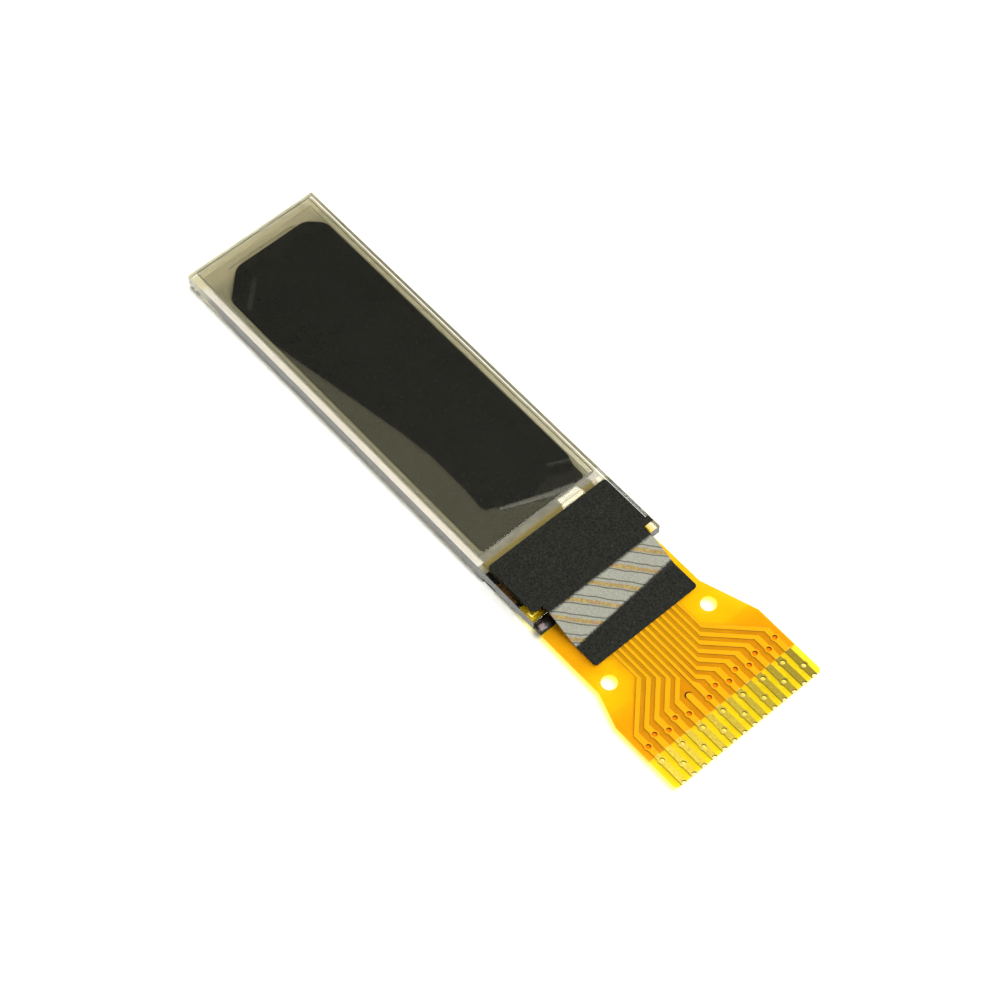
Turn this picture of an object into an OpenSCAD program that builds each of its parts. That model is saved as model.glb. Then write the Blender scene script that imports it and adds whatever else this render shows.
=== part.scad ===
// Small OLED display module: two glass plates with the emitting film sealed between them,
// a polarizer on the front, a driver chip behind the ledge and a flex tail with fourteen
// plated pads. X runs along the module towards the pads, Y across it and +Z out of the
// screen. The origin is under the middle of the front glass, on the back of the cap glass.

/* [Front glass] */
// Length of the front glass
glass_l = 26.3; // [25:0.1:30]
// Width of the front glass
glass_w = 8.0; // [7.9:0.1:9]
// Thickness of the front glass
front_t = 0.63; // [0.5:0.01:0.8]
// Length of the ledge that the cap glass leaves free
ledge_l = 3.65; // [3.5:0.05:4.2]

/* [Cap glass] */
// Thickness of the cap glass
cap_t = 0.4; // [0.36:0.01:0.6]
// How far the cap's edges sit inside the front glass
cap_inset = 0.04; // [0:0.01:0.1]
// Rim of the cap left around its etched pocket, at the far end and the sides
pocket_rim = 0.75; // [0.6:0.05:1]
// Depth of the etched pocket
pocket_depth = 0.2; // [0.15:0.01:0.25]
// Corner cut of the pocket
pocket_cut = 1.2; // [0.5:0.1:2]
// Thickness of the desiccant sheet in the pocket
desiccant_t = 0.1; // [0.06:0.01:0.13]
// Gap between the desiccant sheet and the pocket's walls
desiccant_gap = 1.2; // [0.3:0.1:1.6]
// Corner cut of the desiccant sheet
desiccant_cut = 0.6; // [0.2:0.1:1]

/* [Seal and leads] */
// Thickness of the seal between the plates
seal_t = 0.03; // [0.03:0.005:0.05]
// Width of the seal
seal_w = 0.33; // [0.2:0.01:0.5]
// Gap between the seal and the cap's far and side edges
seal_gap = 0.1; // [0.05:0.01:0.15]
// Gap between the seal and the cap's edge at the ledge
seal_ledge_gap = 0.5; // [0.3:0.05:0.6]
// Thickness of the leads on the ledge
lead_t = 0.01; // [0.01:0.0025:0.015]
// Bare glass beside the leads
lead_margin = 0.4; // [0.3:0.05:0.45]

/* [Emitting film] */
// Thickness of the emitting film
film_t = 0.02; // [0.01:0.005:0.025]
// Gap between the film and the seal at the far end
film_gap_far = 0.55; // [0.1:0.05:1]
// Gap between the film and the seal at the ledge
film_gap_ledge = 0.02; // [0.02:0.01:0.3]
// Gap between the film and the seal on the left
film_gap_left = 0.31; // [0.02:0.01:0.5]
// Gap between the film and the seal on the right
film_gap_right = 0.05; // [0.02:0.01:0.3]
// Corner cut at the far left of the film
film_cut_left = 1.5; // [0.5:0.1:2]
// Corner cut at the far right of the film
film_cut_right = 0.8; // [0.4:0.1:1.5]
// Width of the step near the ledge, on the film's right side
film_step = 0.2; // [0.1:0.02:0.5]
// Length of that step
film_step_l = 1.25; // [0.6:0.05:2]

/* [Polarizer] */
// Thickness of the polarizer
polarizer_t = 0.2; // [0.12:0.01:0.25]
// Bare glass along each side of the polarizer
polarizer_side = 0.4; // [0.2:0.05:0.6]
// Bare glass at the far end
polarizer_far = 0.27; // [0.1:0.01:0.5]
// Bare glass between the polarizer and the tape
polarizer_tape_gap = 0.66; // [0.4:0.01:1]

/* [Driver chip] */
// Length of the chip, across the module
chip_l = 6.8; // [5:0.1:7]
// Width of the chip, along the module
chip_w = 0.62; // [0.5:0.02:0.8]
// Thickness of the chip
chip_t = 0.28; // [0.15:0.01:0.29]
// Gap between the cap glass and the chip
chip_gap = 0.11; // [0.1:0.01:0.2]
// Thickness of the bonding films under the chip and under the flex
bond_t = 0.02; // [0.01:0.005:0.03]

/* [Flex outline] */
// How far the flex reaches past the glass
flex_reach = 10.33; // [10:0.01:14]
// Gap between the chip and the flex
flex_gap = 0.1; // [0.06:0.01:0.15]
// Thickness of the base film
base_t = 0.05; // [0.04:0.005:0.08]
// Inset of the neck's left edge from the glass
neck_inset_left = 0.08; // [0:0.02:0.3]
// Inset of the neck's right edge from the glass
neck_inset_right = 0.34; // [0:0.02:0.4]
// From the outermost pads' centre lines to the flex's edges
end_margin = 0.47; // [0.4:0.01:0.8]
// Offset of the pads and the flex's end from the glass's centre line
end_shift = 0.09; // [0:0.01:0.1]
// From the glass to the start of the left shoulder
shoulder_start_left = 4.45; // [3.2:0.05:5]
// From the glass to the start of the right shoulder
shoulder_start_right = 3.15; // [3:0.05:5]
// From the end of the left shoulder to the end of the flex
shoulder_end_left = 4.08; // [3.6:0.01:4.3]
// From the end of the right shoulder to the end of the flex
shoulder_end_right = 4.22; // [3.6:0.01:4.3]
// Radius of the flex's end corners
end_r = 0.2; // [0.05:0.05:0.3]

/* [Tooling holes] */
// Radius of the tooling holes
tooling_r = 0.4; // [0.3:0.01:0.45]
// From the glass to the tooling holes
tooling_x = 4.35; // [4:0.05:5]
// From the neck's left edge to the left tooling hole
tooling_edge_left = 0.75; // [0.65:0.01:0.9]
// From the neck's right edge to the right tooling hole
tooling_edge_right = 0.53; // [0.5:0.01:0.8]

/* [Pads and tracks] */
// Distance between pads
pad_pitch = 0.635; // [0.6:0.005:0.65]
// Width of a pad
pad_w = 0.32; // [0.3:0.01:0.36]
// Thickness of the copper on each face
copper_t = 0.03; // [0.02:0.005:0.04]
// Length of pad that the coverlays leave bare
pad_bare_l = 1.78; // [1.7:0.02:2]
// Radius of the plated holes
via_r = 0.125; // [0.1:0.005:0.13]
// Thickness of the plating in the holes
plating_t = 0.02; // [0.015:0.0025:0.02]
// Radius of the copper ring round a plated hole
via_ring_r = 0.215; // [0.19:0.005:0.24]
// From the flex's end to the near row of bare holes
via_row_near = 0.72; // [0.6:0.02:0.8]
// From the flex's end to the far row of bare holes
via_row_far = 1.47; // [1.4:0.01:1.5]
// From the flex's end to the near row of covered holes
via_row_covered_near = 2.38; // [2.3:0.01:2.45]
// From the flex's end to the far row of covered holes
via_row_covered_far = 2.65; // [2.6:0.01:2.8]
// From the flex's end to where the tracks straighten
fan_end = 3.2; // [3.1:0.05:3.4]
// Distance between the parallel tracks in the neck
lane_pitch = 0.3375; // [0.32:0.0025:0.36]
// Offset of the parallel tracks from the glass's centre line
lane_shift = 0.03; // [-0.1:0.01:0.1]
// Width of a track in the neck
lane_w = 0.16; // [0.1:0.01:0.18]
// Width of a track where it fans out
fan_w = 0.24; // [0.16:0.01:0.26]
// From the start of the flex to the start of the tracks
track_start = 0.35; // [0.2:0.05:0.6]
// From the flex's bond to the edge of the ledge
bond_gap = 0.3; // [0.2:0.05:0.5]

/* [Coverlays] */
// Thickness of the coverlay film on bare base film
cover_t = 0.025; // [0.02:0.0025:0.03]
// Thickness of the coverlay film on copper
cover_skin_t = 0.02; // [0.01:0.005:0.03]
// How far the coverlay's ribs spread beside a track
cover_spread = 0.03; // [0.01:0.01:0.04]
// Gap between the glass and the top coverlay
cover_start = 0.5; // [0.45:0.05:1]
// Length of the bottom coverlay
cover_back_l = 2.95; // [1.5:0.05:4]

/* [Alignment mark] */
// Distance of the mark from the glass's near edge
mark_gap_end = 0.46; // [0.4:0.01:0.6]
// Distance of the mark from the neck's left edge
mark_gap_side = 0.2; // [0.1:0.01:0.25]
// Length of the mark's arm along the module
mark_l = 0.32; // [0.2:0.01:0.5]
// Length of the mark's arm across the module
mark_w = 0.42; // [0.2:0.01:0.5]
// Width of the mark's line
mark_line = 0.07; // [0.04:0.01:0.1]

/* [Front tape] */
// Thickness of the front tape
tape_t = 0.08; // [0.05:0.01:0.12]
// Inset of the tape from the glass's left edge
tape_inset_left = 0.32; // [0.1:0.02:0.5]
// Inset of the tape from the glass's right edge
tape_inset_right = 0.23; // [0.1:0.01:0.5]
// Bare ledge beside the tape at the near left corner
tape_notch_left = 0.4; // [0.3:0.05:0.8]
// Bare ledge beside the tape at the near right corner
tape_notch_right = 0.44; // [0.3:0.02:0.8]
// Length of the small ear on the tape's right side
ear_l = 0.34; // [0.2:0.02:0.5]
// How far the ear stands out
ear_w = 0.16; // [0.05:0.01:0.2]
// Inset of the tape's tail from the neck's left edge
tail_inset_left = 0.8; // [0.5:0.05:1]
// Inset of the tape's tail from the neck's right edge
tail_inset_right = 0.31; // [0.2:0.01:0.5]
// Length over which the tape comes down from the glass to the flex
tape_drop_l = 1.85; // [1.5:0.05:2.2]
// Length of the bend at each end of that slope
tape_bend_l = 0.3; // [0.1:0.05:0.5]
// Length of the tape past the glass
tape_reach = 3.35; // [2.8:0.05:3.5]
// Corner radius of the tape
tape_r = 0.17; // [0.05:0.01:0.25]

/* [Back tape] */
// Thickness of the back tape
back_tape_t = 0.05; // [0.03:0.005:0.05]
// Inset of the back tape from the neck's edges
back_tape_inset = 0.02; // [0:0.01:0.1]
// How far the back tape starts before the chip
back_tape_lead = 0.08; // [0.08:0.005:0.09]
// How far the back tape covers the flex
back_tape_lap = 1.55; // [1:0.01:2]
// Gap between the tape's folds and the edges it steps over
back_tape_slack = 0.02; // [0.01:0.005:0.03]

/* [Glue bead] */
// Height of the glue bead on the glass's end face
glue_h = 0.3; // [0.15:0.01:0.4]
// Width of the glue bead on the flex
glue_w = 0.42; // [0.2:0.01:0.44]

/* [Hidden] */
$fn = 48;
// Overlap that carries a cut past the face it opens
cut = 0.01;

// Levels, from the cap's back face up
front_z = cap_t + seal_t;
glass_top_z = front_z + front_t;
lead_z = front_z - lead_t;
copper_top_z = lead_z - bond_t;
base_top_z = copper_top_z - copper_t;
base_z = base_top_z - base_t;
copper_back_z = base_z - copper_t;
cover_top_z = copper_top_z + cover_skin_t;
cover_back_z = copper_back_z - cover_skin_t;
chip_z = copper_top_z - chip_t;

// Stations along the module, from the far end of the glass
cap_l = glass_l - ledge_l;
seal_x0 = cap_inset + seal_gap;
seal_x1 = cap_l - seal_ledge_gap;
pocket_x0 = cap_inset + pocket_rim;
pocket_x1 = seal_x1 + seal_gap - pocket_rim;
chip_x0 = cap_l + chip_gap;
chip_x1 = chip_x0 + chip_w;
flex_x = chip_x1 + flex_gap;
track_x = flex_x + track_start;
bond_end = glass_l - bond_gap;
cover_x = glass_l + cover_start;
flex_end = glass_l + flex_reach;
bare_x = flex_end - pad_bare_l;
fan_x = flex_end - fan_end;

// Sides, from the glass's centre line
glass_side = glass_w / 2;
cap_side = glass_side - cap_inset;
seal_side = cap_side - seal_gap;
neck_left = neck_inset_left - glass_side;
neck_right = glass_side - neck_inset_right;
tape_left = tape_inset_left - glass_side;
tape_right = glass_side - tape_inset_right;
tail_left = neck_left + tail_inset_left;
tail_right = neck_right - tail_inset_right;
tooling_y = [neck_left + tooling_edge_left, neck_right - tooling_edge_right];

// Pads count from the left, seen from the front with the pads at the bottom. One pad has
// no track behind it, so there is one lane fewer than there are pads.
pad_count = 14;
lane_count = pad_count - 1;
stub_pad = 6;
drill_r = via_r + plating_t;

end_left = pad_y(1) - end_margin;
end_right = pad_y(pad_count) + end_margin;

function odd(i) = i % 2 == 1;
function pad_y(i) = end_shift + (i - (pad_count + 1) / 2) * pad_pitch;
function lane(i) = i < stub_pad ? i : i - 1;
function lane_y(i) = lane_shift + (lane(i) - (lane_count + 1) / 2) * lane_pitch;
function via_x(i) = flex_end - (odd(i) ? via_row_far : via_row_near);
function covered_via_x(i) =
    flex_end - (odd(i) ? via_row_covered_near : via_row_covered_far);

// Moves the far end of the glass back, so that its middle stands over the origin
module in_frame() {
    translate([-glass_l / 2, 0, 0]) children();
}

module slab(x0, x1, y0, y1, z0, z1) {
    translate([x0, y0, z0]) cube([x1 - x0, y1 - y0, z1 - z0]);
}

module layer(z0, z1) {
    translate([0, 0, z0]) linear_extrude(z1 - z0) children();
}

// Extrudes a profile drawn in X and Z across the module
module across(y0, y1) {
    translate([0, y1, 0]) rotate([90, 0, 0]) linear_extrude(y1 - y0) children();
}

module rounded_rect(x0, x1, y0, y1, r) {
    translate([x0 + r, y0]) square([x1 - x0 - 2 * r, y1 - y0]);
    translate([x0, y0 + r]) square([x1 - x0, y1 - y0 - 2 * r]);
    for (x = [x0 + r, x1 - r], y = [y0 + r, y1 - r]) translate([x, y]) circle(r);
}

module cut_rect(x0, x1, side, c) {
    polygon([
        [x0 + c, -side], [x1 - c, -side], [x1, c - side], [x1, side - c],
        [x1 - c, side], [x0 + c, side], [x0, side - c], [x0, c - side]
    ]);
}

// ---- Glass plates and what lies between them ----

module front_glass() {
    color("lightcyan") in_frame()
        slab(0, glass_l, -glass_side, glass_side, front_z, glass_top_z);
}

// The pocket is etched into the face that looks at the emitting film
module cap_glass() {
    color("lightcyan") in_frame() difference() {
        slab(cap_inset, cap_l, -cap_side, cap_side, 0, cap_t);
        layer(cap_t - pocket_depth, cap_t + cut)
            cut_rect(pocket_x0, pocket_x1, cap_side - pocket_rim, pocket_cut);
    }
}

module desiccant_sheet() {
    floor_z = cap_t - pocket_depth;
    side = cap_side - pocket_rim - desiccant_gap;
    color("linen") in_frame() layer(floor_z, floor_z + desiccant_t)
        cut_rect(pocket_x0 + desiccant_gap, pocket_x1 - desiccant_gap, side, desiccant_cut);
}

module edge_seal() {
    color("gray") in_frame() difference() {
        slab(seal_x0, seal_x1, -seal_side, seal_side, cap_t, front_z);
        slab(seal_x0 + seal_w, seal_x1 - seal_w, seal_w - seal_side, seal_side - seal_w,
            cap_t - cut, front_z + cut);
    }
}

// Two corners are cut at the far end, and the right side steps in near the ledge
module emitting_film() {
    x0 = seal_x0 + seal_w + film_gap_far;
    x1 = seal_x1 - seal_w - film_gap_ledge;
    y0 = seal_w + film_gap_left - seal_side;
    y1 = seal_side - seal_w - film_gap_right;
    step_x = x1 - film_step_l;
    color([0.08, 0.08, 0.08]) in_frame() layer(front_z - film_t, front_z) polygon([
        [x0 + film_cut_left, y0], [x1, y0], [x1, y1 - film_step],
        [step_x + film_step, y1 - film_step], [step_x, y1],
        [x0 + film_cut_right, y1], [x0, y1 - film_cut_right], [x0, y0 + film_cut_left]
    ]);
}

module polarizer() {
    side = glass_side - polarizer_side;
    color([0.2, 0.2, 0.19]) in_frame()
        slab(polarizer_far, cap_l - polarizer_tape_gap, -side, side,
            glass_top_z, glass_top_z + polarizer_t);
}

// ---- What is bonded to the back of the ledge ----

// The leads are far finer than a pencil line, so they are one thin strip
module panel_leads() {
    side = glass_side - lead_margin;
    color("darkkhaki") in_frame() slab(seal_x1, bond_end, -side, side, lead_z, front_z);
}

module chip_bond_film() {
    color("silver") in_frame()
        slab(chip_x0, chip_x1, -chip_l / 2, chip_l / 2, copper_top_z, lead_z);
}

module driver_chip() {
    color("slategray") in_frame()
        slab(chip_x0, chip_x1, -chip_l / 2, chip_l / 2, chip_z, copper_top_z);
}

module flex_bond_film() {
    color("silver") in_frame()
        slab(track_x, bond_end, tail_left, tail_right, copper_top_z, lead_z);
}

// ---- Flex tail ----

// A neck under the ledge, shoulders, and the wide end that carries the pads
module flex_outline() {
    left_x = flex_end - shoulder_end_left;
    right_x = flex_end - shoulder_end_right;
    corner_x = flex_end - end_r;
    polygon([
        [flex_x, neck_left], [glass_l + shoulder_start_left, neck_left], [left_x, end_left],
        [corner_x, end_left], [corner_x, end_right], [right_x, end_right],
        [glass_l + shoulder_start_right, neck_right], [flex_x, neck_right]
    ]);
    rounded_rect(left_x, flex_end, end_left, end_right, end_r);
}

module tooling_holes() {
    for (y = tooling_y) translate([glass_l + tooling_x, y]) circle(tooling_r);
}

// The holes of one pad: a bare one, a covered one and half a hole at the flex's end
module pad_holes(i, r) {
    translate([via_x(i), pad_y(i)]) circle(r);
    if (i != stub_pad) translate([covered_via_x(i), pad_y(i)]) circle(r);
    translate([flex_end, pad_y(i)]) circle(r);
}

module flex_base() {
    color("orange") in_frame() layer(base_z, base_top_z) difference() {
        flex_outline();
        tooling_holes();
        for (i = [1 : pad_count]) pad_holes(i, drill_r);
    }
}

// The two bends on one edge of a track: where it leaves its lane and where it reaches its
// pad, with a run at 45 degrees between them. side is 1 or -1. grow widens the track.
function track_bends(i, side, grow) =
    let (
        rise = pad_y(i) - lane_y(i),
        lane_half = lane_w / 2 + grow,
        pad_half = pad_w / 2 + grow,
        fan_half = (fan_w / 2 + grow) * sqrt(2),
        straight = abs(rise) < pad_w - lane_w,
        lane_x = fan_x - (straight ? pad_w : abs(rise)),
        lane_dx = straight ? 0 : sign(rise) * side * (lane_half - fan_half),
        pad_dx = straight ? 0 : sign(rise) * side * (pad_half - fan_half)
    )
    [[lane_x + lane_dx, lane_y(i) + side * lane_half],
     [fan_x + pad_dx, pad_y(i) + side * pad_half]];

// A track from x0 to the end of its pad. The stub only has the pad, with a round start.
module track_shape(i, x0, grow) {
    left = track_bends(i, -1, grow);
    right = track_bends(i, 1, grow);
    lane_half = lane_w / 2 + grow;
    pad_half = pad_w / 2 + grow;
    stub_x = fan_x + pad_w / 2;
    if (i == stub_pad) {
        translate([stub_x, pad_y(i) - pad_half]) square([flex_end - stub_x, 2 * pad_half]);
        translate([stub_x, pad_y(i)]) circle(pad_half);
    } else {
        polygon([
            [x0, lane_y(i) - lane_half], left[0], left[1], [flex_end, pad_y(i) - pad_half],
            [flex_end, pad_y(i) + pad_half], right[1], right[0], [x0, lane_y(i) + lane_half]
        ]);
        translate([covered_via_x(i), pad_y(i)]) circle(via_ring_r + grow);
    }
}

// Front copper of one conductor: track, pad and rings, inside the flex's outline
module front_copper(i) {
    intersection() {
        union() {
            track_shape(i, track_x, 0);
            translate([via_x(i), pad_y(i)]) circle(via_ring_r);
        }
        flex_outline();
    }
}

// Back copper of one conductor: a pad that reaches back to the conductor's last hole
module back_copper(i) {
    x0 = i == stub_pad ? via_x(i) : covered_via_x(i);
    intersection() {
        union() {
            translate([x0, pad_y(i) - pad_w / 2]) square([flex_end - x0, pad_w]);
            for (x = [x0, via_x(i)]) translate([x, pad_y(i)]) circle(via_ring_r);
        }
        flex_outline();
    }
}

// One plated piece: front copper, back copper and the plating through its holes
module conductor(i) {
    color("darkgoldenrod") in_frame() difference() {
        union() {
            layer(base_top_z, copper_top_z) front_copper(i);
            layer(copper_back_z, base_z) back_copper(i);
            layer(copper_back_z, copper_top_z) intersection() {
                pad_holes(i, drill_r);
                flex_outline();
            }
        }
        layer(copper_back_z - cut, copper_top_z + cut) pad_holes(i, via_r);
    }
}

// The coverlay lies flat on the base film and rises in a rib over each track
module top_coverlay() {
    color("gold") in_frame() difference() {
        intersection() {
            union() {
                layer(base_top_z, base_top_z + cover_t) flex_outline();
                layer(base_top_z, cover_top_z)
                    for (i = [1 : pad_count]) track_shape(i, track_x, cover_spread);
            }
            slab(cover_x, bare_x, end_left, end_right, base_top_z, cover_top_z);
        }
        layer(base_top_z - cut, copper_top_z) for (i = [1 : pad_count]) front_copper(i);
        layer(base_top_z - cut, cover_top_z + cut) tooling_holes();
    }
}

module bottom_coverlay() {
    color("gold") in_frame() difference() {
        intersection() {
            layer(cover_back_z, base_z) flex_outline();
            slab(bare_x - cover_back_l, bare_x, end_left, end_right, cover_back_z, base_z);
        }
        layer(copper_back_z, base_z + cut) for (i = [1 : pad_count]) back_copper(i);
        layer(cover_back_z - cut, base_z + cut) tooling_holes();
    }
}

// Copper corner that lines the flex up with the glass
module alignment_mark() {
    x1 = glass_l - mark_gap_end;
    y0 = neck_left + mark_gap_side;
    color("gold") in_frame() {
        slab(x1 - mark_l, x1, y0, y0 + mark_line, base_top_z, copper_top_z);
        slab(x1 - mark_line, x1, y0, y0 + mark_w, base_top_z, copper_top_z);
    }
}

// ---- Tapes and glue ----

// Share of the drop that is done at share t of its length. The slope builds up over the
// first bend, holds, and dies away over the last one. bend is a bend's share of the length.
function drop_share(t, bend) =
    t < bend ? t * t / (2 * bend * (1 - bend))
    : t > 1 - bend ? 1 - drop_share(1 - t, bend)
    : (t - bend / 2) / (1 - bend);

// Height of the front tape's underside: level on the glass, a slope, level on the flex
function tape_under(x) =
    let (t = min(max((x - glass_l) / tape_drop_l, 0), 1))
    glass_top_z - (glass_top_z - cover_top_z) * drop_share(t, tape_bend_l / tape_drop_l);

module tape_profile() {
    steps = 6;
    flat_x = glass_l + tape_drop_l - tape_bend_l;
    first_bend = [for (k = [0 : steps]) glass_l + tape_bend_l * k / steps];
    last_bend = [for (k = [0 : steps]) flat_x + tape_bend_l * k / steps];
    xs = concat([cap_l], first_bend, last_bend, [glass_l + tape_reach]);
    polygon(concat(
        [for (x = xs) [x, tape_under(x)]],
        [for (k = [len(xs) - 1 : -1 : 0]) [xs[k], tape_under(xs[k]) + tape_t]]
    ));
}

// Plan of the front tape: wide on the ledge, short of the glass's near corners, with a
// small ear on the right and a narrower tail on the flex
module tape_plan() {
    left_x = glass_l - tape_notch_left;
    right_x = glass_l - tape_notch_right;
    rounded_rect(cap_l, right_x, tape_left, tape_right, tape_r);
    rounded_rect(cap_l, left_x, tape_left, tail_right, tape_r);
    rounded_rect(cap_l, glass_l + tape_reach, tail_left, tail_right, tape_r);
    translate([right_x - ear_l, tail_right]) square([ear_l, tape_right + ear_w - tail_right]);
}

module light_shield_tape() {
    color([0.17, 0.17, 0.16]) in_frame() intersection() {
        across(-glass_side, glass_side) tape_profile();
        layer(cover_top_z, glass_top_z + tape_t) tape_plan();
    }
}

// The back tape starts on the leads, goes round the chip and ends on the flex
module back_tape() {
    t = back_tape_t;
    x0 = chip_x0 - back_tape_lead;
    x1 = flex_x + back_tape_lap;
    up_x = chip_x0 - back_tape_slack;
    down_x = chip_x1 + back_tape_slack;
    flex_top_x = flex_x + back_tape_slack;
    color([0.15, 0.15, 0.15]) in_frame()
        across(neck_left + back_tape_inset, neck_right - back_tape_inset) polygon([
            [x0, lead_z], [x0 + back_tape_slack, lead_z], [up_x, chip_z], [down_x, chip_z],
            [flex_top_x, base_z], [x1, base_z], [x1, base_z - t], [flex_top_x + t, base_z - t],
            [down_x + t, chip_z - t], [up_x - t, chip_z - t], [x0, lead_z - t]
        ]);
}

// The bead fills the corner between the glass's end face and the flex, from the neck's left
// edge to the right edge of the tape's tail
module glue_bead() {
    steps = 8;
    arc = [for (k = [0 : steps]) let (a = 90 * k / steps)
        [glass_l + glue_w * (1 - sin(a)), front_z + glue_h * (1 - cos(a))]];
    color("gainsboro") in_frame() difference() {
        across(neck_left, tail_right)
            polygon(concat([[glass_l, base_top_z], [glass_l + glue_w, base_top_z]], arc));
        layer(base_top_z - cut, copper_top_z) for (i = [1 : pad_count]) front_copper(i);
    }
}

front_glass();
cap_glass();
polarizer();
emitting_film();
edge_seal();
desiccant_sheet();
panel_leads();
driver_chip();
chip_bond_film();
flex_bond_film();
light_shield_tape();
back_tape();
glue_bead();
flex_base();
top_coverlay();
bottom_coverlay();
alignment_mark();
for (i = [1 : pad_count]) conductor(i);
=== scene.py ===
"""Looks of a small OLED display module: glass plates, polarizer, tapes and an amber flex tail.

The file is laid out as a Blender add-on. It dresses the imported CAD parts, which it reads as the
fixed frame, with detailed pieces, finishes, a floor, a lamp and a camera. Lengths are in metres.
"""

import math

import bpy
from mathutils import Euler, Matrix, Vector


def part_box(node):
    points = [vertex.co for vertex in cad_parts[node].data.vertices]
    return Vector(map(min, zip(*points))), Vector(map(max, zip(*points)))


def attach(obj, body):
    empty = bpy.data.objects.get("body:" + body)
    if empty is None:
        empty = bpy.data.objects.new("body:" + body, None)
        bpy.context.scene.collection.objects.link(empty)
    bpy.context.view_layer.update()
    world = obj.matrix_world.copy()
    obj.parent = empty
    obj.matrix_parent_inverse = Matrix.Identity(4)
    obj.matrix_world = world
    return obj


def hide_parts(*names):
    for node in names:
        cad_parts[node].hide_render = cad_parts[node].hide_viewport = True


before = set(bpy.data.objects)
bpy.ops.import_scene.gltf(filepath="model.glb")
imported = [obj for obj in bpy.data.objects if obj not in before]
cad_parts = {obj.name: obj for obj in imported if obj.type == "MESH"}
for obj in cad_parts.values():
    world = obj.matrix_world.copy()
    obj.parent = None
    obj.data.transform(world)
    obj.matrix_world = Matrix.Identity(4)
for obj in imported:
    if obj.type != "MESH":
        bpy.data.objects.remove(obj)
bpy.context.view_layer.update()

bl_info = {
    "name": "Small OLED module",
    "version": (1, 0, 0),
    "blender": (4, 5, 0),
    "location": "3D View > Sidebar > OLED module",
    "description": "Dresses the CAD parts of a small OLED display module",
    "category": "Object",
}

MM = 0.001
GLASS_LOW, GLASS_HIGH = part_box("front_glass")
CAP_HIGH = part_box("cap_glass")[1]
POLARIZER_LOW, POLARIZER_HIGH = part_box("polarizer")
FILM_LOW, FILM_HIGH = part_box("emitting_film")
FLEX_LOW, FLEX_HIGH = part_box("flex_base")
BACKING_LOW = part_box("bottom_coverlay")[0]
GLUE_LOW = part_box("glue_bead")[0]
# The glass ends at the ledge's outer edge, and the front coverlay ends at the bare pads
LEDGE_END = GLASS_HIGH.x
COVER_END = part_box("top_coverlay")[1].x
CONDUCTORS = sorted(
    (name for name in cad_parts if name.startswith("conductor_")),
    key=lambda name: int(name.split("_")[1]),
)


# ---------------------------------------------------------------------------------------------
# Sizes and colours that a user would change
# ---------------------------------------------------------------------------------------------


def length(name, description, default, top=1.0):
    return bpy.props.FloatProperty(
        name=name, description=description, default=default, min=0.0, max=top,
        precision=6, subtype="DISTANCE", unit="LENGTH",
    )


def colour(name, description, default):
    return bpy.props.FloatVectorProperty(
        name=name, description=description, default=default, size=3, min=0.0, max=1.0,
        subtype="COLOR",
    )


def position(name, description, default):
    return bpy.props.FloatVectorProperty(
        name=name, description=description, default=default, size=3, precision=6,
        subtype="XYZ", unit="LENGTH",
    )


class OLED_PG_sizes(bpy.types.PropertyGroup):
    """Sizes that the dressing adds to the CAD parts"""

    skin: length("Skin gap", "Hairline gap kept between clear pieces that touch", 0.003 * MM)
    glass_edge: length("Glass edge", "Width of the broken edge on the glass plates", 0.02 * MM)
    polarizer_edge: length("Polarizer edge", "Rounding of the polarizer's cut edge", 0.02 * MM)
    film_corner: length("Film corner", "Reach of the rounding on the film's corners", 0.3 * MM)
    tape_edge: length("Tape edge", "Rounding of the tapes' cut edges", 0.012 * MM)
    cover_edge: length("Coverlay edge", "Rounding of the coverlay over the tracks", 0.012 * MM)
    copper_edge: length("Copper edge", "Rounding of the conductors' edges", 0.014 * MM)


class OLED_PG_colours(bpy.types.PropertyGroup):
    """Colours of the finishes"""

    glass: colour("Glass", "Tint of the clear glass", (0.97, 0.975, 0.96))
    polarizer: colour("Polarizer", "Tint that light takes on in the polarizer", (0.7, 0.69, 0.66))
    film: colour("Emitting film", "Dark emitting film", (0.0085, 0.0088, 0.0075))
    seal: colour("Seal", "Resin of the edge seal", (0.5, 0.46, 0.425))
    # The far seal colour is painted shade: the resin darkened as it looks under the polarizer
    seal_in_shade: colour("Far seal", "Resin on the far and right sides", (0.3, 0.275, 0.17))
    tape: colour("Tape", "Black tape", (0.012, 0.0128, 0.009))
    # The pale tape and gold stripe colours paint a reflection on the tape's slope
    tape_reflection_pale: colour("Pale tape", "Pale satin of the tape's slope", (0.31, 0.31, 0.26))
    tape_reflection_gold: colour("Gold stripe", "Gold stripes on the tape's slope", (0.34, 0.25, 0.085))
    amber: colour("Amber film", "Base film of the flex", (0.95, 0.77, 0.012))
    amber_tint: colour("Amber light", "Light that the film lets through", (0.995, 0.96, 0.35))
    coverlay: colour("Coverlay", "Clear cover film and its glue", (0.99, 0.89, 0.45))
    copper: colour("Copper", "Copper under the coverlay", (0.97, 0.68, 0.1))
    gilt: colour("Gilt", "Plated finish of the bare pads", (0.62, 0.46, 0.045))
    silicon: colour("Silicon", "Back of the driver chip", (0.1, 0.11, 0.12))
    resin: colour("Resin", "Bare patch of the glue bead", (0.26, 0.2, 0.2))
    floor: colour("Floor", "Pale floor", (0.93, 0.93, 0.915))


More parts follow.
